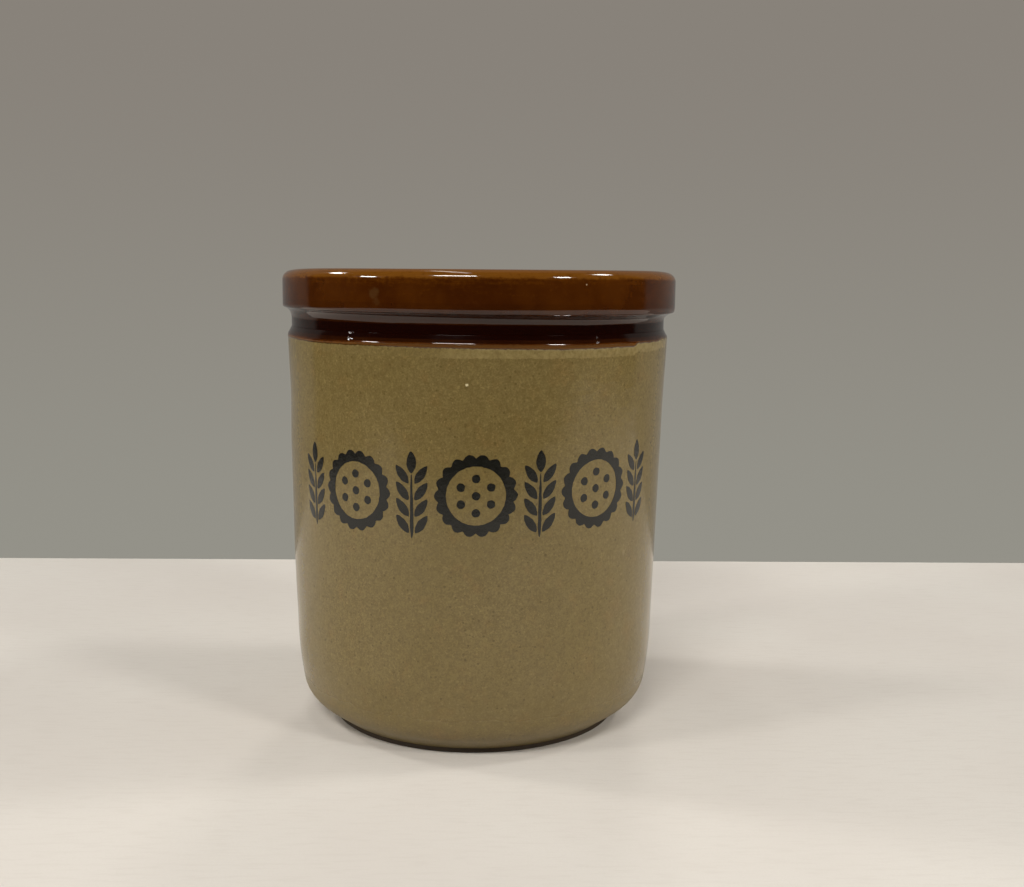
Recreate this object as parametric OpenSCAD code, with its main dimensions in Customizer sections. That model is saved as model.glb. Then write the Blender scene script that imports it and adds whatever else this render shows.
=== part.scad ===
/* [Jar] */
// Overall height, foot to rim
jar_h = 202.5; // [160:0.5:260]
// Diameter over the collar, the widest place
collar_d = 176; // [150:1:220]
// Thickness of the body wall
wall = 8; // [6:0.5:11]
// Thickness of the floor where it stands clear of the table
floor_t = 9; // [6:0.5:14]

/* [Collar and groove] */
// Height of the collar, from its lower lip to the rim
collar_h = 17.6; // [14:0.1:20]
// How far the collar stands out past the shoulder
collar_overhang = 2.6; // [1.8:0.1:4]
// Rounding of the rim's outer edge
rim_round = 4; // [2:0.5:6]
// Rounding of the collar's lower lip
lip_round = 1.2; // [0.6:0.1:2]
// Depth of the tie-down groove, measured in from the shoulder
groove_depth = 1.7; // [1:0.1:3.5]
// Height of the upright waist inside the groove
waist_h = 3.4; // [0.5:0.1:4]
// Radius of the cove that runs from the waist down to the shoulder
cove_round = 8.2; // [5:0.1:14]
// How far below the shoulder's edge the brown glaze stops
glaze_drop = 1.8; // [0.5:0.1:20]

/* [Body and foot] */
// How much the wall narrows from the shoulder to the heel, on the radius
wall_taper = 3.9; // [0:0.1:8]
// Height at which the heel begins to turn in
heel_h = 31; // [26:1:42]
// Radius of the heel's long upper sweep
heel_sweep = 54; // [46:1:70]
// Radius of the heel's tighter turn into the foot
heel_round = 22; // [12:1:25]
// Width of the foot ring that the jar stands on
foot_w = 9; // [5:0.5:14]
// Depth of the hollow inside the foot ring
foot_recess = 2; // [1:0.5:4]
// Rounding inside, where the wall meets the floor
floor_round = 18; // [6:1:24]

/* [Mouth and lid seat] */
// Thickness of the collar, from its face to the mouth
collar_t = 11.5; // [10:0.5:15]
// Rounding of the rim's inner edge
mouth_round = 3.5; // [1.5:0.5:5]
// Depth of the lid seat below the rim
seat_depth = 21; // [20:0.5:30]
// Width of the lid seat
seat_w = 6; // [4:0.5:9]
// Thickness of the seat's ledge at its edge
ledge_t = 5; // [3:0.5:9]
// Height of the slope under the ledge
ledge_slope_h = 9; // [6:0.5:16]

/* [Lid] */
// Gap between the lid and the mouth, on the radius
lid_gap = 1.2; // [0.6:0.1:2.5]
// Thickness of the lid
lid_t = 6.5; // [5:0.5:8]
// Rise of the lid from its level border to the knob
lid_crown = 1.5; // [0.5:0.5:3]
// Width of the lid's level border
lid_border = 9; // [6:1:20]
// Rounding of the lid's upper edge
lid_round = 2.5; // [1:0.5:4]
// Depth of the locating ring under the lid
ring_h = 5; // [4:0.5:9]
// Width of the locating ring
ring_w = 6; // [4:0.5:8]
// Gap between the locating ring and the ledge, on the radius
ring_gap = 1.5; // [0.8:0.1:3]

/* [Knob] */
// How far the top of the knob stays below the rim
knob_sink = 2.5; // [1:0.5:4]
// Diameter of the knob's cap
knob_d = 34; // [28:1:46]
// Thickness of the knob's cap
knob_cap_h = 5.5; // [4.5:0.5:7]
// Rounding of the cap's edge
knob_round = 2; // [1:0.1:2.2]
// Diameter of the knob's waist
knob_waist_d = 22; // [14:1:24]

/* [Hidden] */
$fn = 128;

tan_stoneware = [0.46, 0.39, 0.25];
brown_glaze = [0.24, 0.11, 0.03];

// Cutting shapes run past what they cut by this much
over = 20;

// Outside of the crock
collar_r = collar_d / 2;
shoulder_r = collar_r - collar_overhang;
groove_r = shoulder_r - groove_depth;
lip_z = jar_h - collar_h;
lip_cove_r = collar_r - groove_r - lip_round;
waist_z = lip_z - lip_cove_r - waist_h;
shoulder_z = waist_z - sqrt(pow(cove_round, 2) - pow(cove_round - groove_depth, 2));
glaze_z = shoulder_z - glaze_drop;
heel_r = shoulder_r - wall_taper;
wall_lean = wall_taper / (shoulder_z - heel_h);

// The heel: the tight arc rolls inside the sweep and lands level on the foot
sweep_centre = [heel_r - heel_sweep, heel_h];
heel_drop = heel_h - heel_round;
heel_run = sqrt(pow(heel_sweep - heel_round, 2) - pow(heel_drop, 2));
foot_r = sweep_centre[0] + heel_run;
heel_centre = [foot_r, heel_round];
// A point outside the jar on the line where the two arcs meet
heel_seam = heel_centre + (heel_r + over) / heel_run * [heel_run, -heel_drop];

// Inside of the crock
mouth_r = collar_r - collar_t;
seat_r = mouth_r - seat_w;
seat_z = jar_h - seat_depth;
ledge_z = seat_z - ledge_t;
ledge_foot_z = ledge_z - ledge_slope_h;
lean_length = sqrt(1 + pow(wall_lean, 2));
floor_arc_z = floor_t + floor_round;
floor_arc_r = inner_r(floor_arc_z) - floor_round * lean_length;
floor_arc_end = [floor_arc_r, floor_arc_z] + floor_round / lean_length * [1, -wall_lean];

// Lid
lid_r = mouth_r - lid_gap;
lid_top_z = seat_z + lid_t;
ring_r = seat_r - ring_gap;
ring_z = seat_z - ring_h;
knob_top_z = jar_h - knob_sink;
cap_z = knob_top_z - knob_cap_h;
knob_foot_z = lid_top_z + lid_crown;
knob_cove_r = (cap_z - knob_foot_z) / 2;
knob_r = knob_d / 2;
knob_waist_r = knob_waist_d / 2;
knob_foot_r = knob_waist_r + knob_cove_r;

// Radius of the wall's outer and inner face at height z
function wall_r(z) = heel_r + wall_lean * (z - heel_h);
function inner_r(z) = wall_r(z) - wall;

// What a round of radius r takes off the corner at [x, z]; side and up say where the corner points
module corner_waste(x, z, r, side, up) {
    translate([x - side * r, z - up * r])
        difference() {
            polygon([
                [0, 0], [side * (r + over), 0],
                [side * (r + over), up * (r + over)], [0, up * (r + over)]
            ]);
            circle(r);
        }
}

// A ring section from the axis out to r, between two heights
module disc_section(r, z0, z1) {
    translate([0, z0])
        square([r, z1 - z0]);
}

module collar_section() {
    difference() {
        disc_section(collar_r, lip_z, jar_h);
        corner_waste(collar_r, jar_h, rim_round, 1, 1);
        corner_waste(collar_r, lip_z, lip_round, 1, -1);
    }
}

// The wall runs on up behind the groove, and the cove cuts the shoulder's edge into it
module wall_section() {
    difference() {
        polygon([[0, 0], [heel_r, 0], [heel_r, heel_h], [wall_r(waist_z), waist_z], [0, waist_z]]);
        translate([groove_r + cove_round, waist_z])
            circle(cove_round);
        heel_waste();
    }
}

module heel_waste() {
    difference() {
        polygon([
            sweep_centre, heel_centre, [foot_r, heel_seam[1]],
            heel_seam, [heel_seam[0], heel_h]
        ]);
        translate(heel_centre)
            circle(heel_round);
        intersection() {
            translate(sweep_centre)
                circle(heel_sweep);
            polygon([
                sweep_centre - [over, 0], heel_centre, heel_seam, [heel_seam[0], heel_h + over],
                sweep_centre + [0, over]
            ]);
        }
    }
}

module neck_section() {
    disc_section(groove_r, waist_z, lip_z);
    difference() {
        disc_section(groove_r + lip_cove_r, lip_z - lip_cove_r, lip_z);
        translate([groove_r + lip_cove_r, lip_z - lip_cove_r])
            circle(lip_cove_r);
    }
}

// The hollow inside: floor, wall, ledge, lid seat and mouth
module cavity_section() {
    polygon([
        [0, floor_t], [floor_arc_r, floor_t], [floor_arc_r, floor_arc_z], floor_arc_end,
        [inner_r(ledge_foot_z), ledge_foot_z], [seat_r, ledge_z], [seat_r, seat_z],
        [mouth_r, seat_z], [mouth_r, jar_h + over], [0, jar_h + over]
    ]);
    translate([floor_arc_r, floor_arc_z])
        circle(floor_round);
}

module foot_hollow_section() {
    polygon([
        [0, -over], [foot_r - foot_w, -over], [foot_r - foot_w, 0],
        [foot_r - foot_w - foot_recess, foot_recess], [0, foot_recess]
    ]);
}

module crock_section() {
    difference() {
        union() {
            wall_section();
            neck_section();
            collar_section();
        }
        cavity_section();
        foot_hollow_section();
        corner_waste(mouth_r, jar_h, mouth_round, -1, 1);
    }
}

// The part of the crock between two heights
module crock_band(z0, z1) {
    rotate_extrude()
        intersection() {
            crock_section();
            disc_section(collar_r + over, z0, z1);
        }
}

// One fired vessel: tan stoneware, dipped in brown glaze from just below the shoulder up
module crock() {
    color(tan_stoneware)
        crock_band(0, glaze_z);
    color(brown_glaze)
        crock_band(glaze_z, jar_h);
}

module lid_plate_section() {
    difference() {
        polygon([
            [0, seat_z], [lid_r, seat_z], [lid_r, lid_top_z], [lid_r - lid_border, lid_top_z],
            [knob_foot_r, knob_foot_z], [0, knob_foot_z]
        ]);
        corner_waste(lid_r, lid_top_z, lid_round, 1, 1);
    }
}

// Drops inside the ledge and keeps the lid central
module locating_ring_section() {
    translate([ring_r - ring_w, ring_z + ring_w / 2])
        square([ring_w, ring_h - ring_w / 2]);
    translate([ring_r - ring_w / 2, ring_z + ring_w / 2])
        circle(ring_w / 2);
}

module knob_section() {
    difference() {
        disc_section(knob_foot_r, knob_foot_z, cap_z);
        translate([knob_foot_r, knob_foot_z + knob_cove_r])
            circle(knob_cove_r);
    }
    difference() {
        disc_section(knob_r, cap_z, knob_top_z);
        corner_waste(knob_r, knob_top_z, knob_round, 1, 1);
        corner_waste(knob_r, cap_z, knob_round, 1, -1);
    }
}

module lid() {
    color(brown_glaze)
        rotate_extrude()
            union() {
                lid_plate_section();
                locating_ring_section();
                knob_section();
            }
}

crock();
lid();
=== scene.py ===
import math

import bmesh
import bpy
import numpy as np
from mathutils import Matrix, Vector, noise


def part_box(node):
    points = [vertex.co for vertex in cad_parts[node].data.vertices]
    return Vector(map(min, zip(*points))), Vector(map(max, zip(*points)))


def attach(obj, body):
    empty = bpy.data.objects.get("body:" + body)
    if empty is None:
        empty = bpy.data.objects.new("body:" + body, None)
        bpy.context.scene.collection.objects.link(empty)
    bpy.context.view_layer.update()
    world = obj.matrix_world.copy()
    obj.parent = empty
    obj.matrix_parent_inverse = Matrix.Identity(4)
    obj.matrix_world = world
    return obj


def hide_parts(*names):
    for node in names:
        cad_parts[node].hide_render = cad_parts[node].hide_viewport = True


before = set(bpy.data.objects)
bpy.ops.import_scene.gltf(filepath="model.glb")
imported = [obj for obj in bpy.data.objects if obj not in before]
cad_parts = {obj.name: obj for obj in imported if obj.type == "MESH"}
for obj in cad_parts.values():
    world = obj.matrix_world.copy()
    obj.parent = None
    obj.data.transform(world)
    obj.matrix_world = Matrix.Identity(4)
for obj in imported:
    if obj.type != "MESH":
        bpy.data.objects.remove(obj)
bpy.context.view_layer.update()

# The script works in millimetres and turns them into metres where a mesh is made.
MM = 0.001
crock_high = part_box("crock")[1] / MM
lid_low, lid_high = (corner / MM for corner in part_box("lid"))

# ---- Sizes of the crock, outside -------------------------------------------------------
JAR_H = crock_high.z
COLLAR_R = crock_high.x
COLLAR_H = 17.6
COLLAR_OVERHANG = 2.6
RIM_ROUND = 4
LIP_ROUND = 1.2
GROOVE_DEPTH = 1.7
WAIST_H = 3.4
COVE_ROUND = 8.2
WALL_TAPER = 3.9
HEEL_Z = 31
SHOULDER_R = COLLAR_R - COLLAR_OVERHANG
GROOVE_R = SHOULDER_R - GROOVE_DEPTH
HEEL_R = SHOULDER_R - WALL_TAPER
LIP_Z = JAR_H - COLLAR_H
WAIST_TOP_Z = LIP_Z - (COLLAR_R - GROOVE_R - LIP_ROUND)
WAIST_Z = WAIST_TOP_Z - WAIST_H
SHOULDER_Z = WAIST_Z - math.sqrt(COVE_ROUND**2 - (COVE_ROUND - GROOVE_DEPTH) ** 2)
WALL_LEAN = WALL_TAPER / (SHOULDER_Z - HEEL_Z)
# The ridge at the shoulder is rounded. In the groove above it a cone meets the waist in a tight
# corner, and a soft cove lies under the lip.
SHOULDER_ROUND = 1.5
SLOPE_DEG = 27
SLOPE_COVE = 0.15
UPPER_COVE = 4.7
# The glaze is pooled on the cone, and deepest above this share of it. The pooled colour there also carries
# painted shade of the groove.
POOL_START = 0.4
# Up the collar's face the glaze is thickest to the first height over the lip and thick to the second.
# It is thin from this far under the rim's round, and thinnest over the rim past these angles.
FACE_THICKEST_H = 4
FACE_THICK_H = 7
FACE_THIN_H = 2
RIM_EDGE_DEG = (16, 18)
# The thrown heel bends in slowly, turns in and runs down to the foot at the underside's angle
BEND_Z = 44.2
BEND_ROUND = 154
TURN_ROUND = 14
TURN_START_DEG = -10.2
UNDERSIDE_DEG = 36.2
# The glaze's lower edge (radius, height), and how far the dark foot under it steps back
GLAZE_FOOT = (65.7, 2.2)
GLAZE_STEP = 0.3
# The dark foot's radius where it stands, and its chamfer there
STAND_R = 65.3
STAND_CHAMFER = (0.2, 0.25)
# The foot ring's inner side, as in the solid
FOOT_INNER_R = 49.2083
FOOT_RECESS = 2
FOOT_EDGE = 0.6

# ---- Sizes of the crock, inside --------------------------------------------------------
WALL = 8
FLOOR_T = 9
FLOOR_ROUND = 18
COLLAR_T = 11.5
MOUTH_ROUND = 3.5
SEAT_W = 6
SEAT_DEPTH = 21
LEDGE_T = 5
LEDGE_SLOPE_H = 9
EDGE = 0.7
MOUTH_R = COLLAR_R - COLLAR_T
SEAT_R = MOUTH_R - SEAT_W
SEAT_Z = JAR_H - SEAT_DEPTH
LEDGE_Z = SEAT_Z - LEDGE_T
LEDGE_FOOT_Z = LEDGE_Z - LEDGE_SLOPE_H

# ---- Lid -------------------------------------------------------------------------------
LID_R = lid_high.x
LID_T = 6.5
LID_CROWN = 1.5
LID_BORDER = 9
LID_ROUND = 2.5
RING_GAP = 1.5
RING_R = SEAT_R - RING_GAP
RING_W = 6
RING_Z = lid_low.z
KNOB_R = 17
KNOB_ROUND = 2
KNOB_CAP_H = 5.5
KNOB_WAIST_R = 11
KNOB_TOP_Z = lid_high.z
LID_TOP_Z = SEAT_Z + LID_T
KNOB_FOOT_Z = LID_TOP_Z + LID_CROWN
CAP_Z = KNOB_TOP_Z - KNOB_CAP_H
KNOB_COVE = (CAP_Z - KNOB_FOOT_Z) / 2

# ---- Glaze -----------------------------------------------------------------------------
# What each point of a turned piece knows: the height above the brown glaze's edge, how thin the
# glaze runs there (-1 pooled, 1 thin; pooled places also get painted shade) and how bare the clay is
# (-1 stained dark, 1 bare).
LOOKS = ("glaze_height", "glaze_thin", "bare_clay")
# How far under the shoulder the brown glaze ends outside, and over the seat inside
GLAZE_DROP = 1.8
SEAT_CLEAR_H = 2
GLAZE_Z = SHOULDER_Z - GLAZE_DROP
INNER_GLAZE_Z = SEAT_Z + SEAT_CLEAR_H
NO_GLAZE = -9
ALL_BROWN = 9
BARE = 1.0
STAINED = -1.0
# The bead along the brown glaze's edge, and where round the front it fades (middle, half-width)
BEAD = 0.16
BEAD_H = 0.5
BEAD_FADES = (-42, 26)
# How far the edge wanders, the share of its finer waves, and how far up and down the waves reach
GLAZE_WAVE = 0.16
FINE_WAVE = 0.7
WAVE_REACH = 1.4
GLAZE_REACH = 5

# ---- Hand-made unevenness --------------------------------------------------------------
# The body sits this far to one side of the collar's axis, and the groove takes up the difference.
LEAN_X = -1.0
LEAN_END_Z = 140
WOBBLE = 0.1
WALL_RIPPLE = 0.08
# The foot stays flat and round below this height
FLAT_Z = 1
# The wall's unevenness fades out between these heights, and the rim's dips fade in above the seat
WALL_FADES = (WAIST_TOP_Z + 1, WAIST_Z - 2)
DIP_FADES = (SEAT_Z + 2, JAR_H - RIM_ROUND)
# Swellings and dips: how much, middle, half-width. Those round the jar are in degrees to the right
# of the front, and those of the wall in heights.
SHOULDER_TILT = 0.22
SHOULDER_DIPS = [(0.3, 27, 14), (0.9, -50, 15)]
WALL_WAVE = [(0.45, 72, 26), (-0.7, 147, 15)]
RIM_DIP = 0.7
RIM_DIPS = [(1.6, -90, 24), (1.8, 90, 20)]
# The lip sags at the right, between these angles
LIP_SAG = 0.9
SAG_GROWS = (-30, 60)
SAG_FADES = (180, 110)
SAG_Z = LIP_Z + 0.6
SAG_H = 3
# The lip is eased in front: middle and half-width of the angle, and the heights it fades between
LIP_EASE = 0.5
EASE_FRONT = (5, 62)
EASE_FADES = (LIP_Z + 2.0, LIP_Z + 0.2)
EASE_FOOT_Z = LIP_Z - 0.2
# The gap that the dip left at the right: where it opens, grows taller and closes, in degrees
MISSED_OPENS = (48.5, 50.5)
MISSED_GROWS = (62.5, 65)
MISSED_CLOSES = (116, 100)
MISSED_H = 1.1
MISSED_MORE = 0.75
MISSED_TEETH = 0.4
MISSED_LEFT = [(0.7, -52, 20)]
# Where in the noise each unevenness is read, so that no two are alike
WOBBLE_SEED = 5.2
WAVE_SEED = 3.1
FINE_WAVE_SEED = 7.7
TEETH_SEED = 1.3
WALL_SEED = 8.4
WALL_LEVEL = 1.2

# ---- Mesh ------------------------------------------------------------------------------
SEGMENTS = 576
SAME_POINT = 1e-4

# ---- Stamped ornament ------------------------------------------------------------------
STAMP_Z = 113.6
STAMP_H = 35.2
STAMP_TILT = 0.0155
STAMP_SPAN = 172
INK_PROUD = 0.08
INK_SUNK = 0.25
WHEAT_W = 16
BISCUIT_R = 15.9
# How far a stamp's edge strays, how fast, and where in the noise for each direction
SHAKE = 0.16
SHAKE_RATE = 0.9
SHAKE_ACROSS = 2.5
SHAKE_UP = 9.5

# ---- Camera, fitted to the photograph (image 1024 x 887) -------------------------------
IMAGE_W = 1024
SENSOR_MM = 36
FOCAL_PX = 1206
CAMERA_PLACE = (LEAN_X, -551.4, 201.2)
PITCH = 0.1412
ROLL = 0.0120
YAW = -0.0298

# ---- Stage -----------------------------------------------------------------------------
TABLE_FRONT = -520
TABLE_BACK = 278
TABLE_LEFT = -650
TABLE_RIGHT = 1000
# The table's top lies this far under the foot, so that no two faces share a plane
TABLE_DROP = 0.02


def wall_r(z):
    return HEEL_R + WALL_LEAN * (z - HEEL_Z)


def inner_r(z):
    return wall_r(z) - WALL


def smooth(low, high, x):
    t = np.clip((x - low) / (high - low), 0, 1)
    return t * t * (3 - 2 * t)


def bell(x, middle, width):
    return np.exp(-(((x - middle) / width) ** 2))


def bells(x, rows):
    return sum(size * bell(x, middle, width) for size, middle, width in rows)


def placed(name, data):
    """A new object in the scene."""
    thing = bpy.data.objects.new(name, data)
    bpy.context.scene.collection.objects.link(thing)
    return thing


# ======================================================================================
# Outlines
# ======================================================================================
def no_glaze(z):
    return NO_GLAZE


def all_brown(z):
    return ALL_BROWN


def outer_glaze(z):
    return z - GLAZE_Z


def mouth_glaze(z):
    return z - INNER_GLAZE_Z


class Section:
    """An outline from the axis round to the axis. Each point carries its looks, and coat gives the
    height above the brown glaze's edge."""

    def __init__(self, start, bare=0.0):
        self.rows = []
        self.coat = no_glaze
        self.add(start, bare=bare)

    def add(self, point, thin=0.0, bare=0.0):
        self.rows.append((point[0], point[1], self.coat(point[1]), thin, bare))

    def line(self, end, step=1.5, **look):
        start = self.rows[-1][:2]
        count = max(1, math.ceil(math.dist(start, end) / step))
        for i in range(1, count + 1):
            t = i / count
            self.add((start[0] + (end[0] - start[0]) * t, start[1] + (end[1] - start[1]) * t), **look)

    def arc(self, centre, radius, start_deg, end_deg, step=0.35, thin=0.0, thin_end=None, bare=0.0):
        length = radius * math.radians(abs(end_deg - start_deg))
        count = max(4, math.ceil(length / step))
        for i in range(count + 1):
            t = i / count
            angle = math.radians(start_deg + (end_deg - start_deg) * t)
            point = (centre[0] + radius * math.cos(angle), centre[1] + radius * math.sin(angle))
            share = thin if thin_end is None else thin + (thin_end - thin) * t
            self.add(point, thin=share, bare=bare)

    def table(self):
        kept = [self.rows[0]]
        for row in self.rows[1:]:
            if math.dist(row[:2], kept[-1][:2]) > SAME_POINT:
                kept.append(row)
        return np.array(kept, float)


def add_foot(s):
    """The hollow under the floor, the bare ring that the jar stands on and its dark outer edge."""
    s.line((FOOT_INNER_R - FOOT_RECESS, FOOT_RECESS), step=6, bare=BARE)
    s.line((FOOT_INNER_R - FOOT_EDGE / 2, FOOT_EDGE / 2), bare=BARE)
    s.line((FOOT_INNER_R + FOOT_EDGE / 2, 0), step=0.4, bare=BARE)
    s.line((STAND_R, 0), bare=BARE)
    s.line((STAND_R + STAND_CHAMFER[0], STAND_CHAMFER[1]), step=0.1, bare=STAINED)
    for back, step in ((GLAZE_STEP, 0.3), (GLAZE_STEP / 2, 0.1)):
        s.line((GLAZE_FOOT[0] - back, GLAZE_FOOT[1] - back), step=step, bare=STAINED)
    s.line(GLAZE_FOOT, step=0.1)


def add_wall(s):
    """The heel's turn and its slow bend, and the straight wall."""
    start = math.radians(TURN_START_DEG)
    apart = BEND_ROUND - TURN_ROUND
    bend = (wall_r(BEND_Z) - BEND_ROUND, BEND_Z)
    turn = (bend[0] + apart * math.cos(start), bend[1] + apart * math.sin(start))
    s.arc(turn, TURN_ROUND, UNDERSIDE_DEG - 90, TURN_START_DEG, step=0.4)
    s.arc(bend, BEND_ROUND, TURN_START_DEG, 0, step=0.8)
    s.coat = outer_glaze
    s.line((wall_r(GLAZE_Z - WAVE_REACH), GLAZE_Z - WAVE_REACH), step=1.6)


def add_shoulder(s):
    """Over the ridge and up the groove's cone, into the tight corner at the waist."""
    slope = math.radians(SLOPE_DEG)
    edge_z = SHOULDER_Z - SHOULDER_ROUND * math.tan((slope + WALL_LEAN) / 2)
    edge_r = wall_r(edge_z) - SHOULDER_ROUND
    s.line((edge_r + SHOULDER_ROUND, edge_z), step=0.12, thin=0.8)
    s.arc((edge_r, edge_z), SHOULDER_ROUND, -math.degrees(WALL_LEAN), SLOPE_DEG, step=0.06,
          thin=0.6, thin_end=-0.4)
    cove_in = SLOPE_COVE * math.tan(slope / 2)
    cove_z = SHOULDER_Z + GROOVE_DEPTH / math.tan(slope) + cove_in
    slope_foot = s.rows[-1][:2]
    slope_top = (GROOVE_R + cove_in * math.sin(slope), cove_z - cove_in - cove_in * math.cos(slope))
    pool_edge = tuple(a + (b - a) * POOL_START for a, b in zip(slope_foot, slope_top))
    s.line(pool_edge, step=0.2, thin=-0.62)
    s.line(slope_top, step=0.3, thin=-0.85)
    s.arc((GROOVE_R + SLOPE_COVE, cove_z), SLOPE_COVE, 180 + SLOPE_DEG, 180, step=0.03, thin=-1)


def add_lip(s):
    """Up the waist, through the cove that meets the lip's round, and round the lip."""
    lip = (COLLAR_R - LIP_ROUND, LIP_Z + LIP_ROUND)
    over_lip = GROOVE_R + UPPER_COVE - lip[0]
    under_lip = math.sqrt((LIP_ROUND + UPPER_COVE) ** 2 - over_lip**2)
    turn = math.degrees(math.atan2(under_lip, over_lip))
    cove = (GROOVE_R + UPPER_COVE, lip[1] - under_lip)
    s.line((GROOVE_R, cove[1]), step=0.3, thin=-0.85)
    s.arc(cove, UPPER_COVE, 180, 180 - turn, thin=-0.55, thin_end=-0.5)
    s.arc(lip, LIP_ROUND, -turn, 0, step=0.12, thin=-0.35)


def add_collar(s):
    """Up the collar's face, over the rim and down the mouth to the seat."""
    rim = (COLLAR_R - RIM_ROUND, JAR_H - RIM_ROUND)
    mouth = (MOUTH_R + MOUTH_ROUND, JAR_H - MOUTH_ROUND)
    s.line((COLLAR_R, LIP_Z + FACE_THICKEST_H), step=0.4, thin=-0.3)
    s.line((COLLAR_R, LIP_Z + FACE_THICK_H), step=0.6, thin=-0.12)
    s.line((COLLAR_R, rim[1] - FACE_THIN_H), step=0.6)
    s.line((COLLAR_R, rim[1]), step=0.4, thin=0.2)
    s.arc(rim, RIM_ROUND, 0, RIM_EDGE_DEG[0], step=0.2, thin=0.3, thin_end=0.75)
    s.arc(rim, RIM_ROUND, RIM_EDGE_DEG[1], 90, step=0.25, thin=0.8, thin_end=1.0)
    s.line((mouth[0], JAR_H), step=0.8, thin=0.9)
    s.coat = mouth_glaze
    s.arc(mouth, MOUTH_ROUND, 90, 180, step=0.3, thin=1.0, thin_end=0.0)
    s.line((MOUTH_R, SEAT_Z), step=0.7)


def add_inside(s):
    """The bare seat, the ledge and the slope under it, the wall and the rounded floor."""
    floor_z = FLOOR_T + FLOOR_ROUND
    s.coat = no_glaze
    s.line((SEAT_R + EDGE, SEAT_Z), step=1, bare=BARE)
    s.arc((SEAT_R + EDGE, SEAT_Z - EDGE), EDGE, 90, 180, step=0.2, bare=0.5)
    s.line((SEAT_R, LEDGE_Z), step=1)
    s.line((inner_r(LEDGE_FOOT_Z), LEDGE_FOOT_Z), step=1.5)
    s.line((inner_r(floor_z), floor_z), step=4)
    s.arc((inner_r(floor_z) - FLOOR_ROUND, floor_z), FLOOR_ROUND, 0, -90, step=1.2)
    s.line((0, FLOOR_T), step=6)


def crock_section():
    s = Section((0, FOOT_RECESS), bare=BARE)
    for add_part in (add_foot, add_wall, add_shoulder, add_lip, add_collar, add_inside):
        add_part(s)
    return s.table()


def add_lid_underside(s):
    """The locating ring, and the bare border that rests on the seat."""
    half_ring = RING_W / 2
    s.line((RING_R - RING_W, SEAT_Z), step=6)
    s.line((RING_R - RING_W, RING_Z + half_ring), step=0.8)
    s.arc((RING_R - half_ring, RING_Z + half_ring), half_ring, 180, 360, step=0.5, bare=0.4)
    s.line((RING_R, SEAT_Z), step=0.8)
    s.line((LID_R - EDGE, SEAT_Z), step=1, bare=BARE)
    s.arc((LID_R - EDGE, SEAT_Z + EDGE), EDGE, -90, 0, step=0.2, bare=0.6)


def add_lid_top(s):
    """The plate's rounded edge, its level border and its crown, up to the knob's waist."""
    s.line((LID_R, LID_TOP_Z - LID_ROUND), step=0.5)
    s.arc((LID_R - LID_ROUND, LID_TOP_Z - LID_ROUND), LID_ROUND, 0, 90, step=0.3,
          thin=0.2, thin_end=0.8)
    s.line((LID_R - LID_BORDER, LID_TOP_Z), step=0.8)
    s.line((KNOB_WAIST_R + KNOB_COVE, KNOB_FOOT_Z), step=1.6, thin=0.15)


def add_knob(s):
    """The knob's waist, and its cap with both edges rounded."""
    round_r = KNOB_R - KNOB_ROUND
    s.arc((KNOB_WAIST_R + KNOB_COVE, KNOB_FOOT_Z + KNOB_COVE), KNOB_COVE, 270, 90, step=0.25,
          thin=-0.8)
    s.line((round_r, CAP_Z), step=0.6)
    s.arc((round_r, CAP_Z + KNOB_ROUND), KNOB_ROUND, -90, 0, step=0.25)
    s.line((KNOB_R, KNOB_TOP_Z - KNOB_ROUND), step=0.4)
    s.arc((round_r, KNOB_TOP_Z - KNOB_ROUND), KNOB_ROUND, 0, 90, step=0.25, thin=0.1, thin_end=0.9)
    s.line((0, KNOB_TOP_Z), step=1.2, thin=0.3)


def lid_section():
    s = Section((0, SEAT_Z))
    add_lid_underside(s)
    s.coat = all_brown
    add_lid_top(s)
    add_knob(s)
    return s.table()


# ======================================================================================
# Turned pieces
# ======================================================================================
def front_angle(angle):
    """Degrees round from the front, to the right."""
    return (math.degrees(angle) + 90 + 180) % 360 - 180


def ripple(angle, seed, around=2.0, level=0.0):
    """Smooth noise from -1 to 1 on a ring, without a seam. It changes faster on a wider ring."""
    return noise.noise(Vector((around * math.cos(angle) + seed, around * math.sin(angle) - seed, level)))


def wobble(angle):
    """How far the crock is out of round at this angle."""
    return WOBBLE * (0.5 + 0.5 * ripple(angle, WOBBLE_SEED))


def glaze_wave(angle):
    """How far the brown glaze's edge wanders up at this angle."""
    fine = FINE_WAVE * ripple(angle, FINE_WAVE_SEED, around=12)
    return GLAZE_WAVE * (ripple(angle, WAVE_SEED, around=3) + fine)


def shoulder_wave(angle):
    """How far the whole shoulder, ridge and glaze edge, rises at this angle."""
    return -SHOULDER_TILT * math.cos(angle) - bells(front_angle(angle), SHOULDER_DIPS)


def missed_glaze(angle):
    """Where the dip fell short the tan clay reaches up to the ridge: in uneven teeth at the right, and a
    little at the left."""
    front = front_angle(angle)
    gap = smooth(*MISSED_OPENS, front) * smooth(*MISSED_CLOSES, front)
    gap *= MISSED_H + MISSED_MORE * smooth(*MISSED_GROWS, front)
    teeth = 1 + MISSED_TEETH * ripple(angle, TEETH_SEED, around=30)
    return gap * teeth + bells(front, MISSED_LEFT)


def edge_wave(angle, z):
    """How far the points near the glaze's edge rise."""
    away = np.abs(z - GLAZE_Z)
    fine = glaze_wave(angle) * smooth(WAVE_REACH, 0, away)
    return fine + shoulder_wave(angle) * smooth(GLAZE_REACH, 0, away)


def lip_sag(front, z):
    share = smooth(*SAG_GROWS, front) * smooth(*SAG_FADES, abs(front))
    return LIP_SAG * share * bell(z, SAG_Z, SAG_H)


def lip_ease(front, z):
    return LIP_EASE * smooth(*EASE_FADES, z) * (z > EASE_FOOT_Z) * bell(front, *EASE_FRONT)


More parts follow.
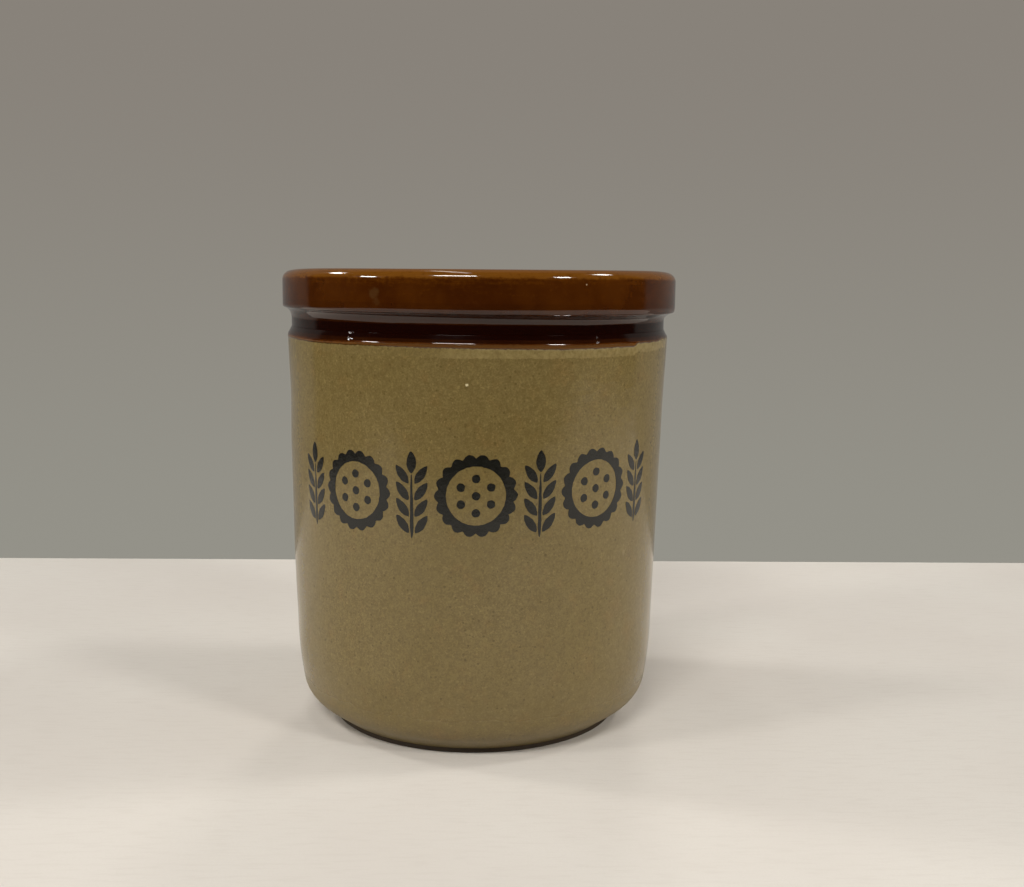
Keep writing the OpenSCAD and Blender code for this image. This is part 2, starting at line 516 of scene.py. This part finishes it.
def uneven_wall(angle, z):
    """A throwing wave: the left of the wall is fuller low down and leaner high up."""
    left = max(0.0, -math.cos(angle)) ** 2
    fine = WALL_RIPPLE * ripple(angle, WALL_SEED, around=1.5, level=WALL_LEVEL)
    return left * bells(z, WALL_WAVE) + fine


def rim_dip(angle, z):
    """How far the rim, and less and less what is under it, lies low at this angle."""
    around = 0.5 - 0.5 * math.cos(angle) + bells(front_angle(angle), RIM_DIPS)
    return RIM_DIP * around * smooth(*DIP_FADES, z)


def body_lean(z):
    """From 0 at the collar to 1 low on the wall, in two halves with the waist between them."""
    return 0.5 * smooth(LIP_Z + LIP_ROUND, WAIST_TOP_Z, z) + 0.5 * smooth(WAIST_Z, LEAN_END_Z, z)


def crock_shape(angle, profile):
    """The crock's outline at this angle, as thrown and dipped by hand."""
    r, z, looks = profile[:, 0].copy(), profile[:, 1].copy(), profile[:, 2:].copy()
    front = front_angle(angle)
    outside = (looks[:, 0] > NO_GLAZE) & (r > MOUTH_R + MOUTH_ROUND)
    looks[:, 0] = np.where(outside, z - GLAZE_Z - missed_glaze(angle), looks[:, 0])
    bead = BEAD * (1 - bell(front, *BEAD_FADES))
    r += outside * bead * bell(looks[:, 0], BEAD_H, BEAD_H)
    z += outside * (edge_wave(angle, z) - lip_sag(front, z))
    r -= outside * lip_ease(front, z)
    r -= wobble(angle) * (z > FLAT_Z)
    r += smooth(*WALL_FADES, z) * uneven_wall(angle, z)
    z -= rim_dip(angle, z) * (r > SEAT_R)
    return r, z, LEAN_X * body_lean(z), looks


def round_shape(angle, profile):
    return profile[:, 0], profile[:, 1], 0.0, profile[:, 2:]


def turned_faces(count):
    """The faces between the copies of an outline of count points, closed at both poles."""
    low_pole, high_pole = SEGMENTS * count, SEGMENTS * count + 1
    faces = []
    for i in range(SEGMENTS):
        a, b = i * count, (i + 1) % SEGMENTS * count
        faces.append((low_pole, b, a))
        faces.extend((a + k, b + k, b + k + 1, a + k + 1) for k in range(count - 1))
        faces.append((a + count - 1, b + count - 1, high_pole))
    return faces


def turned(name, rows, shape=round_shape):
    """A closed turned mesh from an outline, in metres. shape(angle, profile) gives the radii, the
    heights, a shift to the right and the looks at each angle."""
    poles, profile = rows[[0, -1]], rows[1:-1]
    points, looks = [], []
    for angle in np.linspace(0, 2 * math.pi, SEGMENTS, endpoint=False) - math.pi / 2:
        r, z, x_off, look = shape(angle, profile)
        points.append(np.stack([r * math.cos(angle) + x_off, r * math.sin(angle), z], 1))
        looks.append(look)
    points.append(np.array([[0, 0, poles[0, 1]], [0, 0, poles[1, 1]]]))
    looks.append(poles[:, 2:])
    values = np.concatenate(looks)
    mesh = bpy.data.meshes.new(name)
    mesh.from_pydata((np.concatenate(points) * MM).tolist(), [], turned_faces(len(profile)))
    for index, label in enumerate(LOOKS):
        layer = mesh.attributes.new(label, "FLOAT", "POINT")
        layer.data.foreach_set("value", values[:, index].astype(np.float32))
    mesh.polygons.foreach_set("use_smooth", [True] * len(mesh.polygons))
    mesh.validate()
    return placed(name, mesh)


# ======================================================================================
# Stamped ornament
# ======================================================================================
class Stamp:
    """Thin flat shapes laid on the crock's wall. A point is (across, up) in millimetres from the
    row's middle."""

    def __init__(self):
        self.mesh = bmesh.new()

    def on_wall(self, across, up, proud):
        place = (across * SHAKE_RATE, up * SHAKE_RATE)
        across += SHAKE * noise.noise(Vector((*place, SHAKE_ACROSS)))
        up += SHAKE * noise.noise(Vector((*place, SHAKE_UP)))
        angle = across / wall_r(STAMP_Z)
        z = STAMP_Z + up + STAMP_TILT * wall_r(STAMP_Z) * math.sin(angle)
        turn = angle - math.pi / 2
        radius = wall_r(z) + proud - wobble(turn) + uneven_wall(turn, z)
        return Vector((radius * math.sin(angle) + LEAN_X, -radius * math.cos(angle), z)) * MM

    def patch(self, rows, closed=False, capped=False):
        """A thin closed solid from rows of points. closed joins each row's ends, and capped fills the
        first row."""
        layers = []
        for proud in (INK_PROUD, -INK_SUNK):
            layers.append([[self.mesh.verts.new(self.on_wall(x, y, proud)) for x, y in row] for row in rows])
        top, under = layers
        size = len(rows[0])
        last = size if closed else size - 1
        for i in range(len(rows) - 1):
            for j in range(last):
                k = (j + 1) % size
                self.mesh.faces.new((top[i][j], top[i + 1][j], top[i + 1][k], top[i][k]))
                self.mesh.faces.new((under[i][k], under[i + 1][k], under[i + 1][j], under[i][j]))
        if capped:
            self.mesh.faces.new(top[0])
            self.mesh.faces.new(under[0][::-1])
        else:
            self.rim(top[0], under[0], last)
        self.rim(top[-1][::-1], under[-1][::-1], last)
        if not closed:
            for i in range(len(rows) - 1):
                self.mesh.faces.new((top[i + 1][0], top[i][0], under[i][0], under[i + 1][0]))
                self.mesh.faces.new((top[i][-1], top[i + 1][-1], under[i + 1][-1], under[i][-1]))

    def rim(self, upper, lower, last):
        """The narrow faces between the two layers along a row."""
        for j in range(last):
            k = (j + 1) % len(upper)
            self.mesh.faces.new((upper[j], upper[k], lower[k], lower[j]))

    def disc(self, x, y, radius, around=28):
        rows = []
        for share in (0.45, 0.8, 1.0):
            turns = (2 * math.pi * j / around for j in range(around))
            rows.append([(x + radius * share * math.cos(t), y + radius * share * math.sin(t)) for t in turns])
        self.patch(rows, closed=True, capped=True)

    def lobed_ring(self, x, y, inner, outer, lobes, lobe, around=192, across=5):
        rows = []
        for i in range(across):
            share = i / (across - 1)
            row = []
            for j in range(around):
                t = 2 * math.pi * j / around
                edge = outer + lobe * (abs(math.cos(lobes * t / 2)) - 0.5)
                radius = inner + (edge - inner) * share
                row.append((x + radius * math.cos(t), y + radius * math.sin(t)))
            rows.append(row)
        self.patch(rows, closed=True)

    def leaf(self, x, y, length, width, lean_deg, full, steps=18, across=5, tip=0.12, bulge=0.75):
        """A grain or blade, pointed at its top. full is where it is widest, along its length."""
        lean = math.radians(lean_deg)
        along = Vector((math.sin(lean), math.cos(lean)))
        side = Vector((math.cos(lean), -math.sin(lean)))
        rows = []
        for i in range(steps + 1):
            t = i / steps
            rise = t / full if t < full else (1 - t) / (1 - full)
            half = tip + (width / 2 - tip) * math.sin(rise * math.pi / 2) ** bulge
            middle = Vector((x, y)) + along * length * (t - 0.5)
            rows.append([tuple(middle + side * half * (2 * j / (across - 1) - 1)) for j in range(across)])
        self.patch(rows)

    def finish(self, name):
        bmesh.ops.recalc_face_normals(self.mesh, faces=self.mesh.faces)
        mesh = bpy.data.meshes.new(name)
        self.mesh.to_mesh(mesh)
        self.mesh.free()
        mesh.polygons.foreach_set("use_smooth", [True] * len(mesh.polygons))
        mesh.set_sharp_from_angle(angle=math.radians(40))
        return placed(name, mesh)


def wheat_ear(stamp, x):
    """One grain on top, four pairs under it, and the stem."""
    pairs, lean = 4, 36
    grain, width, pitch = 8.8, 3.55, 6.7
    full, stem_full = 0.45, 0.2
    top, top_gap, top_extra_w = STAMP_H / 2, 0.6, 0.5
    stem_w, stem_gap, clear_of_stem = 1.5, 0.5, 1.35
    out = clear_of_stem + grain / 2 * math.sin(math.radians(lean))
    stamp.leaf(x, top - grain / 2, grain, width + top_extra_w, 0, full)
    for i in range(pairs):
        y = top - grain - top_gap - pitch * i
        for side in (-1, 1):
            stamp.leaf(x + side * out, y, grain, width, side * lean, full)
    stem = STAMP_H - grain - stem_gap
    stamp.leaf(x, -top + stem / 2, stem, stem_w, 0, stem_full)


def docked_biscuit(stamp, x):
    """A scalloped rim, a dot in the middle and six round it."""
    rim, dot, circle, dots = 4.0, 1.7, 6.9, 6
    stamp.lobed_ring(x, 0, BISCUIT_R - rim, BISCUIT_R, lobes=18, lobe=1.6)
    stamp.disc(x, 0, dot)
    for i in range(dots):
        turn = 2 * math.pi * (i + 0.5) / dots
        stamp.disc(x + circle * math.cos(turn), circle * math.sin(turn), dot)


def ornament():
    stamp = Stamp()
    motifs = [wheat_ear, docked_biscuit] * 3 + [wheat_ear]
    widths = {wheat_ear: WHEAT_W, docked_biscuit: 2 * BISCUIT_R}
    gap = (STAMP_SPAN - sum(widths[m] for m in motifs)) / (len(motifs) - 1)
    x = -STAMP_SPAN / 2
    for motif in motifs:
        motif(stamp, x + widths[motif] / 2)
        x += widths[motif] + gap
    return stamp.finish("stamped_ornament")


# ======================================================================================
# Node trees
# ======================================================================================
class Nodes:
    """A short way to write the nodes of a material or of the world."""

    def __init__(self, tree):
        self.tree = tree

    def new(self, kind):
        return self.tree.nodes.new("ShaderNode" + kind)

    def put(self, socket, value):
        if isinstance(value, bpy.types.NodeSocket):
            self.tree.links.new(value, socket)
        else:
            socket.default_value = value

    def math(self, operation, a, b):
        node = self.new("Math")
        node.operation = operation
        self.put(node.inputs[0], a)
        self.put(node.inputs[1], b)
        return node.outputs[0]

    def vector(self, operation, a, b=(0, 0, 0), output="Vector"):
        node = self.new("VectorMath")
        node.operation = operation
        self.put(node.inputs[0], a)
        self.put(node.inputs[1], b)
        return node.outputs[output]

    def parts(self, vector):
        node = self.new("SeparateXYZ")
        self.put(node.inputs[0], vector)
        return node.outputs

    def ramp(self, value, low, high, to_low=0.0, to_high=1.0):
        """Smoothly from to_low at low to to_high at high."""
        node = self.new("MapRange")
        node.interpolation_type = "SMOOTHSTEP"
        for socket, v in zip(node.inputs, (value, low, high, to_low, to_high)):
            self.put(socket, v)
        return node.outputs["Result"]

    def mix(self, share, a, b):
        node = self.new("Mix")
        node.data_type = "RGBA"
        self.put(node.inputs["Factor"], share)
        self.put(node.inputs[6], a)
        self.put(node.inputs[7], b)
        return node.outputs[2]


class Graph(Nodes):
    """A material's nodes, laid out on the object in millimetres."""

    def __init__(self, name):
        self.material = bpy.data.materials.new(name)
        self.material.use_nodes = True
        super().__init__(self.material.node_tree)
        self.shader = self.tree.nodes["Principled BSDF"]
        coords = self.new("TexCoord")
        self.place = self.vector("MULTIPLY", coords.outputs["Object"], (1 / MM, 1 / MM, 1 / MM))

    def shade(self, name, value):
        self.put(self.shader.inputs[name], value)

    def attribute(self, name):
        node = self.new("Attribute")
        node.attribute_name = name
        return node.outputs["Fac"]

    def stretched(self, x, y, z):
        """Places for noise whose features are stretched to these sizes in millimetres."""
        return self.vector("MULTIPLY", self.place, (1 / x, 1 / y, 1 / z))

    def noise(self, size_mm, detail=2.0, rough=0.5, place=None):
        """Noise whose features are about size_mm across."""
        node = self.new("TexNoise")
        self.put(node.inputs["Vector"], place or self.place)
        node.inputs["Scale"].default_value = 1 / size_mm
        node.inputs["Detail"].default_value = detail
        node.inputs["Roughness"].default_value = rough
        return node.outputs["Fac"]

    def stray(self, size_mm, detail, rough, low, reach, place=None):
        """Noise from -reach, where it is low, to reach, where it is 1 - low."""
        return self.ramp(self.noise(size_mm, detail, rough, place), low, 1 - low, -reach, reach)

    def patched(self, colour, patches):
        """Tints laid over a colour, one after the other, where noise is high."""
        for size_mm, detail, rough, low, high, share, tint in patches:
            amount = self.ramp(self.noise(size_mm, detail, rough), low, high, 0, share)
            colour = self.mix(amount, colour, tint)
        return colour

    def marked(self, colour, marks):
        """Small marks on a colour: place, size in millimetres, strength and tint of each."""
        for place, size_mm, share, tint in marks:
            colour = self.mix(self.math("MULTIPLY", self.spot(place, size_mm), share), colour, tint)
        return colour

    def specks(self, cell_mm, size_mm, share):
        """Dots up to size_mm across, in that share of the cells."""
        node = self.new("TexVoronoi")
        self.put(node.inputs["Vector"], self.place)
        node.inputs["Scale"].default_value = 1 / cell_mm
        pick = self.new("SeparateColor")
        self.put(pick.inputs[0], node.outputs["Color"])
        radius = self.math("MULTIPLY", pick.outputs[1], size_mm / cell_mm / 2)
        inside = self.math("SUBTRACT", radius, node.outputs["Distance"])
        dot = self.ramp(inside, -0.15 * size_mm / cell_mm, 0.1 * size_mm / cell_mm)
        chosen = self.math("LESS_THAN", pick.outputs[0], share)
        return self.math("MULTIPLY", dot, chosen)

    def spot(self, place, size_mm, soft=0.4):
        """1 near a place on the object, with an uneven edge."""
        distance = self.vector("DISTANCE", self.place, place, output="Value")
        away = self.math("ADD", distance, self.stray(size_mm * 0.6, 2, 0.5, 0, size_mm * 0.3))
        return self.ramp(away, size_mm * (0.5 + soft / 2), size_mm * (0.5 - soft / 2))

    def bump(self, height, distance_mm):
        node = self.new("Bump")
        node.inputs["Strength"].default_value = 1.0
        node.inputs["Distance"].default_value = distance_mm * MM
        self.put(node.inputs["Height"], height)
        return node.outputs["Normal"]


def linear(value):
    c = value / 255
    return c / 12.92 if c <= 0.04045 else ((c + 0.055) / 1.055) ** 2.4


def srgb(red, green, blue):
    """A colour as read off a screen, 0 to 255, as the linear one that a shader takes."""
    return (linear(red), linear(green), linear(blue), 1)


def grey(value):
    return (value, value, value, 1)


# ======================================================================================
# Materials
# ======================================================================================
def around_jar(radius, front_deg, z, x_off=0.0):
    angle = math.radians(front_deg)
    return (radius * math.sin(angle) + x_off, -radius * math.cos(angle), z)


def on_body(front_deg, z):
    """A place on the crock's wall, in millimetres."""
    return around_jar(wall_r(z), front_deg, z, LEAN_X)


TAN = srgb(116, 100, 58)
# Paler tan under the brown glaze's edge, partly a painted highlight of the ridge there
PALE_TAN_AND_HIGHLIGHT = srgb(153, 135, 90)
IRON = srgb(66, 52, 26)
BROWN = srgb(56, 23, 1)
THIN_BROWN = srgb(88, 46, 4)
AMBER = srgb(105, 63, 15)
# Pooled glaze, darkened further with painted shade: the groove, the lip's cove and the knob's waist go nearly
# black
POOLED_BROWN_AND_SHADE = srgb(19, 2, 0)
BROWN_OVER_TAN = srgb(86, 56, 26)
# Painted shadow: a dark line painted along the brown glaze's lower edge, for the shade under its bead
PAINTED_SHADOW_LINE = srgb(46, 26, 10)
PALE_CLAY = srgb(150, 134, 104)
DIRTY_CLAY = srgb(112, 96, 70)
STAINED_CLAY = srgb(50, 39, 26)
INK = srgb(16, 16, 11)
CLOTH = srgb(214, 207, 198)
WEAVE = srgb(204, 196, 186)
# Patches: size in millimetres, detail and roughness of the noise, where in it they start and are
# full, their strength and their tint
TAN_PATCHES = [
    (38, 3, 0.5, 0.38, 0.62, 1.0, srgb(119, 103, 62)),
    (9, 3, 0.6, 0.52, 0.74, 0.35, srgb(130, 102, 58)),
    (2.6, 4, 0.75, 0.4, 0.62, 0.4, srgb(94, 79, 44)),
    (0.8, 2, 0.8, 0.38, 0.62, 0.38, srgb(88, 72, 39)),
    (1.2, 3, 0.7, 0.55, 0.72, 0.45, srgb(146, 127, 80)),
]
BROWN_PATCHES = [
    (20, 4, 0.6, 0.38, 0.66, 1.0, srgb(68, 32, 2)),
    (4.5, 3, 0.6, 0.55, 0.75, 0.25, srgb(76, 39, 8)),
]
INK_PATCHES = [
    (1.1, 4, 0.75, 0.5, 0.72, 0.75, srgb(33, 31, 22)),
    (9, 3, 0.5, 0.4, 0.7, 0.4, srgb(26, 26, 21)),
]
CLOTH_DRIFT = [(140, 3, 0.5, 0.3, 0.7, 1.0, srgb(218, 212, 203))]
CLOTH_GRAIN = [(1.1, 2, 0.7, 0.4, 0.7, 0.25, srgb(209, 202, 192))]
# Small marks: place, size in millimetres, strength, tint
WALL_MARKS = [
    (on_body(-2.6, 157.6), 1.0, 0.9, srgb(214, 200, 158)),
    (on_body(-2.8, 156.5), 1.5, 0.4, srgb(74, 60, 32)),
    (on_body(19.5, 112.0), 1.8, 0.45, srgb(150, 132, 94)),
    (on_body(21.0, 114.5), 1.2, 0.35, srgb(150, 132, 94)),
    (on_body(52.0, 83.0), 3.2, 0.4, srgb(92, 76, 46)),
    (on_body(49.0, 84.5), 2.2, 0.35, srgb(142, 124, 86)),
]
COLLAR_MARKS = [
    (around_jar(COLLAR_R, -28.2, 192.6), 4.0, 0.4, srgb(84, 58, 30)),
    (around_jar(COLLAR_R, -27.2, 189.0), 3.0, 0.25, srgb(84, 58, 30)),
    (around_jar(COLLAR_R, 28.2, 196.7), 0.6, 0.8, srgb(190, 165, 130)),
]
# Runs in the glaze over the groove's cone: place, size, how much they tilt its face
RUNS = [
    (around_jar(GROOVE_R + 1.0, -37.5, 175.3), 2.6, 0.25),
    (around_jar(GROOVE_R + 1.0, 33.8, 174.8), 2.2, 0.25),
]
# The paler strip's lower edge against the brown glaze's edge, and where across the jar it fades in.
# The strip is partly paler glaze and partly a painted highlight along the ridge there.
PALE_STRIP_EDGE = (-3.95, -3.5)
PALE_STRIP_ACROSS = (-22, -6)
# The band at the brown glaze's edge: its height at the sides, how much taller it is in front, where
# across the jar it grows and shrinks, how dense it is, and the painted shadow line under it: a dark
# line painted along the glaze's lower edge for the shade under its bead
BAND_H = 0.75
BAND_MORE = 1.2
BAND_GROWS = (-62, -22)
BAND_SHRINKS = (66, 58)
BAND_SHARE = 0.85
SHADOW_LINE_EDGE = (0.42, 0.16)
SHADOW_LINE_SHARE = 0.8
# How far the dip's edge strays, and how soft it is
DIP_STRAY = 0.22
DIP_SOFT = 0.07
# Roughness: glossy on the brown, satin on the tan and matt toward the foot, dull on clay
GLOSSY = 0.06
SATIN = 0.14
MATT_TAN = 0.46
MATT_BETWEEN = (26, 9)
CLAY_ROUGH = 0.8
STAIN_ROUGH = 0.4
SMEAR = 0.05
GLAZE_IOR = 1.5
# The tight corner at the waist, where the glaze is this pooled, mirrors next to nothing
CORNER_THIN = (-0.96, -0.87)
CORNER_MIRROR = 0.05
FULL_MIRROR = 0.5
# How deep the glaze's skin is in millimetres, and the share of its orange peel and pits
SKIN = 0.05
PEEL = 0.35
PITS = 1.2


def tan_glaze(g):
    """Broad warm and grey drifts, a fine grain and iron specks."""
    colour = g.patched(TAN, TAN_PATCHES)
    iron = g.math("MAXIMUM", g.specks(1.9, 1.0, 0.5), g.specks(6.5, 1.3, 0.2))
    return g.mix(g.math("MULTIPLY", iron, 0.4), colour, IRON)


def pale_strip_and_highlight(g, colour, height, across):
    """A paler strip under the brown glaze's edge: partly paler glaze, partly a painted highlight along the
    ridge there.
    """
    strip = g.ramp(g.math("ADD", height, g.stray(2, 3, 0.6, 0.3, 0.25)), *PALE_STRIP_EDGE)
    strip = g.math("MULTIPLY", strip, g.ramp(g.noise(2.2, 4, 0.75), 0.34, 0.62, 0.12, 0.5))
    strip = g.math("MULTIPLY", strip, g.ramp(across, *PALE_STRIP_ACROSS, 0.12, 1))
    # Painted highlight: the paler strip under the brown glaze's edge, mixed with paler glaze
    return g.mix(strip, colour, PALE_TAN_AND_HIGHLIGHT)


def brown_glaze(g, thin):
    """Dark and even on the faces, amber where it is thin, nearly black where it pools: thick pooled glaze,
    together with painted shade in the groove, the lip's cove and the knob's waist.
    """
    colour = g.patched(BROWN, BROWN_PATCHES)
    ragged = g.stray(1.6, 4, 0.65, 0.2, 0.22)
    streaks = g.stray(1, 3, 0.6, 0.3, 0.15, place=g.stretched(7, 7, 1.5))
    uneven = g.math("ADD", thin, g.math("ADD", ragged, streaks))
    colour = g.mix(g.ramp(uneven, 0.0, 0.45, 0, 0.5), colour, THIN_BROWN)
    colour = g.mix(g.ramp(uneven, 0.35, 0.85), colour, AMBER)
    # Painted shade: where the glaze pools, in the groove and other hollows, the colour goes nearly black
    return g.mix(g.ramp(thin, -0.1, -0.9), colour, POOLED_BROWN_AND_SHADE)


def dip_band_and_shadow_line(g, colour, edge, across):
    """The band under the ridge is thin over the tan, taller in front, and ends in a painted shadow line: the
    shade under the glaze's bead, painted as a dark line.
    """
    middle = g.math("MULTIPLY", g.ramp(across, *BAND_GROWS), g.ramp(across, *BAND_SHRINKS))
    band_top = g.math("ADD", BAND_H, g.math("MULTIPLY", middle, BAND_MORE))
    band = g.ramp(edge, band_top, g.math("MULTIPLY", band_top, 0.75), 0, BAND_SHARE)
    colour = g.mix(band, colour, BROWN_OVER_TAN)
    # Painted shadow: the dark line along the glaze's lower edge
    return g.mix(g.ramp(edge, *SHADOW_LINE_EDGE, 0, SHADOW_LINE_SHARE), colour, PAINTED_SHADOW_LINE)


def glaze_roughness(g, up, dipped, unglazed, stained):
    """Glossy, satin or dull, and a little smeared all over."""
    satin = g.ramp(up, *MATT_BETWEEN, SATIN, MATT_TAN)
    rough = g.mix(dipped, satin, grey(GLOSSY))
    rough = g.mix(unglazed, rough, grey(CLAY_ROUGH))
    smear = g.ramp(g.noise(17, 4, 0.6), 0.35, 0.7, 0.0, SMEAR)
    return g.math("ADD", g.math("ADD", rough, smear), g.math("MULTIPLY", stained, STAIN_ROUGH))


def glaze_skin(g, up):
    """Long soft waves, a finer orange peel, some pits, and the runs in the groove."""
    peel = g.math("MULTIPLY", g.noise(1.9, 2), PEEL)
    waves = g.noise(1, 1, place=g.stretched(9, 9, 4))
    pits = g.math("MULTIPLY", g.specks(9, 1.1, 0.12), PITS)
    skin = g.math("SUBTRACT", g.math("ADD", peel, waves), pits)
    for place, size_mm, tilt in RUNS:
        rise = g.math("MULTIPLY", g.math("SUBTRACT", up, place[2]), tilt / SKIN)
        skin = g.math("ADD", skin, g.math("MULTIPLY", g.spot(place, size_mm, soft=0.6), rise))
    return g.bump(skin, SKIN)


def glazed_stoneware():
    """Tan satin glaze below, brown glossy glaze above its edge, clay that is bare where a piece rests
    and stained dark at the foot."""
    g = Graph("glazed_stoneware")
    height, thin, bare = (g.attribute(name) for name in LOOKS)
    axes = g.parts(g.place)
    across, up = axes["X"], axes["Z"]
    edge = g.math("ADD", height, g.stray(1.3, 3, 0.7, 0.25, DIP_STRAY))
    dipped = g.ramp(edge, -DIP_SOFT, DIP_SOFT)
    unglazed = g.ramp(g.math("ADD", bare, g.stray(3, 3, 0.7, 0.2, 0.3)), 0.35, 0.6)
    stained = g.ramp(bare, -0.3, -0.7)

    tan = g.marked(pale_strip_and_highlight(g, tan_glaze(g), height, across), WALL_MARKS)
    brown = g.marked(dip_band_and_shadow_line(g, brown_glaze(g, thin), edge, across), COLLAR_MARKS)
    clay = g.mix(g.noise(2.5, 4, 0.7), PALE_CLAY, DIRTY_CLAY)
    colour = g.mix(unglazed, g.mix(dipped, tan, brown), clay)
    g.shade("Base Color", g.mix(stained, colour, STAINED_CLAY))
    g.shade("Roughness", glaze_roughness(g, up, dipped, unglazed, stained))
    g.shade("Specular IOR Level", g.ramp(thin, *CORNER_THIN, CORNER_MIRROR, FULL_MIRROR))
    g.shade("IOR", GLAZE_IOR)
    g.shade("Normal", glaze_skin(g, up))
    return g.material


def stamped_black():
    """Matt-black stain under the same satin glaze, a little patchy."""
    g = Graph("stamped_black")
    g.shade("Base Color", g.patched(INK, INK_PATCHES))
    g.shade("Roughness", g.ramp(g.noise(4, 3), 0.3, 0.7, SATIN, 0.2))
    g.shade("IOR", GLAZE_IOR)
    g.shade("Normal", g.bump(g.noise(1.4, 3), 0.03))
    return g.material


def table_top():
    """A white cloth with a fine weave and a few slubs."""
    g = Graph("table_top")
    colour = g.patched(CLOTH, CLOTH_DRIFT)
    weave = g.noise(1, 2, 0.6, place=g.stretched(14, 2.2, 1))
    colour = g.mix(g.ramp(weave, 0.45, 0.75, 0, 0.3), colour, WEAVE)
    g.shade("Base Color", g.patched(colour, CLOTH_GRAIN))
    g.shade("Roughness", 0.85)
    g.shade("Specular IOR Level", 0.2)
    return g.material


# ======================================================================================
# Stage, light and camera
# ======================================================================================
# The wall that the camera sees, low and high
WALL_LOW = srgb(148, 146, 137)
WALL_HIGH = srgb(136, 130, 122)
# Even light from the world, and what the glaze mirrors beside, behind, low down and in front of the jar
LIGHT_COLOUR = (0.045, 0.0445, 0.043, 1)
SIDE_REFLECTION = (0.16, 0.15, 0.134, 1)
BACK_REFLECTION = (0.195, 0.185, 0.17, 1)
LOW_REFLECTION = (0.28, 0.265, 0.24, 1)
ROOM_REFLECTION = (0.02, 0.017, 0.014, 1)
# How much the mirrored wall is turned to the right
ROOM_TURN = 0.05
# Lamps near the ceiling, which the glaze mirrors: place over the jar as shares of the ceiling's
# height, size in metres, share of the table's light
CEILING = 1.3
LAMPS = [
    (-1.27, 0.37, 0.30, 0.22, 0.150),
    (-2.60, -1.15, 0.58, 0.32, 0.112),
    (-0.15, -0.03, 0.80, 0.09, 0.115),
    (-0.32, -1.17, 0.75, 0.16, 0.350),
    (1.43, -1.24, 0.42, 0.42, 0.155),
    (1.01, 0.08, 0.26, 0.26, 0.150),
]
LAMP_COLOUR = (1.0, 0.985, 0.96)
# Large soft panels that the glaze doesn't mirror: place and size in metres, share of the table's light
PANELS = [
    (-2.6, 0.0, 0.7, 1.6, 0.055),
    (2.6, 0.0, 0.7, 1.6, 0.100),
    (0.6, 4.0, 0.85, 0.8, 0.110),
]


def add_table():
    corners = [(TABLE_LEFT, TABLE_FRONT), (TABLE_RIGHT, TABLE_FRONT), (TABLE_RIGHT, TABLE_BACK),
               (TABLE_LEFT, TABLE_BACK)]
    mesh = bpy.data.meshes.new("table")
    mesh.from_pydata([(x * MM, y * MM, -TABLE_DROP * MM) for x, y in corners], [], [(0, 1, 2, 3)])
    mesh.materials.append(table_top())
    placed("table", mesh)


def mirrored_room(w, direction, rise):
    """What the glaze mirrors: a lit wall behind and beside the jar, lighter low down, and a dark room
    in front."""
    level = w.parts(w.vector("NORMALIZE", w.vector("MULTIPLY", direction, (1, 1, 0))))
    toward_back = w.math("ADD", w.math("MULTIPLY", level["X"], ROOM_TURN), level["Y"])
    far_side = w.mix(w.ramp(toward_back, 0.5, 0.85), SIDE_REFLECTION, BACK_REFLECTION)
    far_side = w.mix(w.ramp(rise, -0.12, -0.04), LOW_REFLECTION, far_side)
    return w.mix(w.ramp(toward_back, 0.32, 0.41), ROOM_REFLECTION, far_side)


def add_world():
    """Even light for the surfaces, a grey wall for the camera and a room for the reflections."""
    world = bpy.data.worlds.new("studio")
    world.use_nodes = True
    world.node_tree.nodes.clear()
    w = Nodes(world.node_tree)
    rays = w.new("LightPath").outputs
    direction = w.new("TexCoord").outputs["Generated"]
    rise = w.parts(direction)["Z"]
    wall = w.mix(w.ramp(rise, -0.25, 0.2), WALL_LOW, WALL_HIGH)
    seen = w.mix(rays["Is Glossy Ray"], LIGHT_COLOUR, mirrored_room(w, direction, rise))
    seen = w.mix(rays["Is Camera Ray"], seen, wall)
    shader = w.new("Background")
    w.put(shader.inputs["Color"], seen)
    w.put(w.new("OutputWorld").inputs["Surface"], shader.outputs[0])
    bpy.context.scene.world = world


def add_lamp(name, place, width, depth, share, mirrored):
    """An area light aimed at the rim, with the power that gives the table this share of its light."""
    target = Vector((0, 0, JAR_H * MM))
    distance = (place - target).length
    lamp = bpy.data.lights.new(name, "AREA")
    lamp.shape = "RECTANGLE"
    lamp.size, lamp.size_y = width, depth
    lamp.energy = share * math.pi**2 * distance**3 / place.z
    lamp.color = LAMP_COLOUR
    holder = placed(name, lamp)
    holder.location = place
    holder.rotation_euler = (target - place).to_track_quat("-Z", "Y").to_euler()
    holder.visible_camera = False
    holder.visible_glossy = mirrored


def add_lamps():
    for i, (x, y, width, depth, share) in enumerate(LAMPS):
        place = Vector((x, y, 1)) * CEILING + Vector((0, 0, JAR_H * MM))
        add_lamp(f"lamp_{i}", place, width, depth, share, True)
    for i, (x, y, z, size, share) in enumerate(PANELS):
        add_lamp(f"soft_panel_{i}", Vector((x, y, z)), size, size, share, False)


def add_camera():
    data = bpy.data.cameras.new("camera")
    data.sensor_width = SENSOR_MM
    data.lens = FOCAL_PX * SENSOR_MM / IMAGE_W
    camera = placed("camera", data)
    turn = Matrix.Rotation(YAW, 4, "Z") @ Matrix.Rotation(math.pi / 2 - PITCH, 4, "X")
    turn = turn @ Matrix.Rotation(ROLL, 4, "Z")
    camera.matrix_world = Matrix.Translation(Vector(CAMERA_PLACE) * MM) @ turn
    bpy.context.scene.camera = camera


def dress(piece, material, body):
    piece.data.materials.append(material)
    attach(piece, body)
    return piece


add_camera()
stoneware = glazed_stoneware()
crock = dress(turned("glazed_crock", crock_section(), crock_shape), stoneware, "crock")
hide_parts("crock")
lid = dress(turned("glazed_lid", lid_section()), stoneware, "lid")
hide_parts("lid")
dress(ornament(), stamped_black(), "crock")
add_table()
add_world()
add_lamps()
bpy.context.scene.view_settings.view_transform = "Standard"
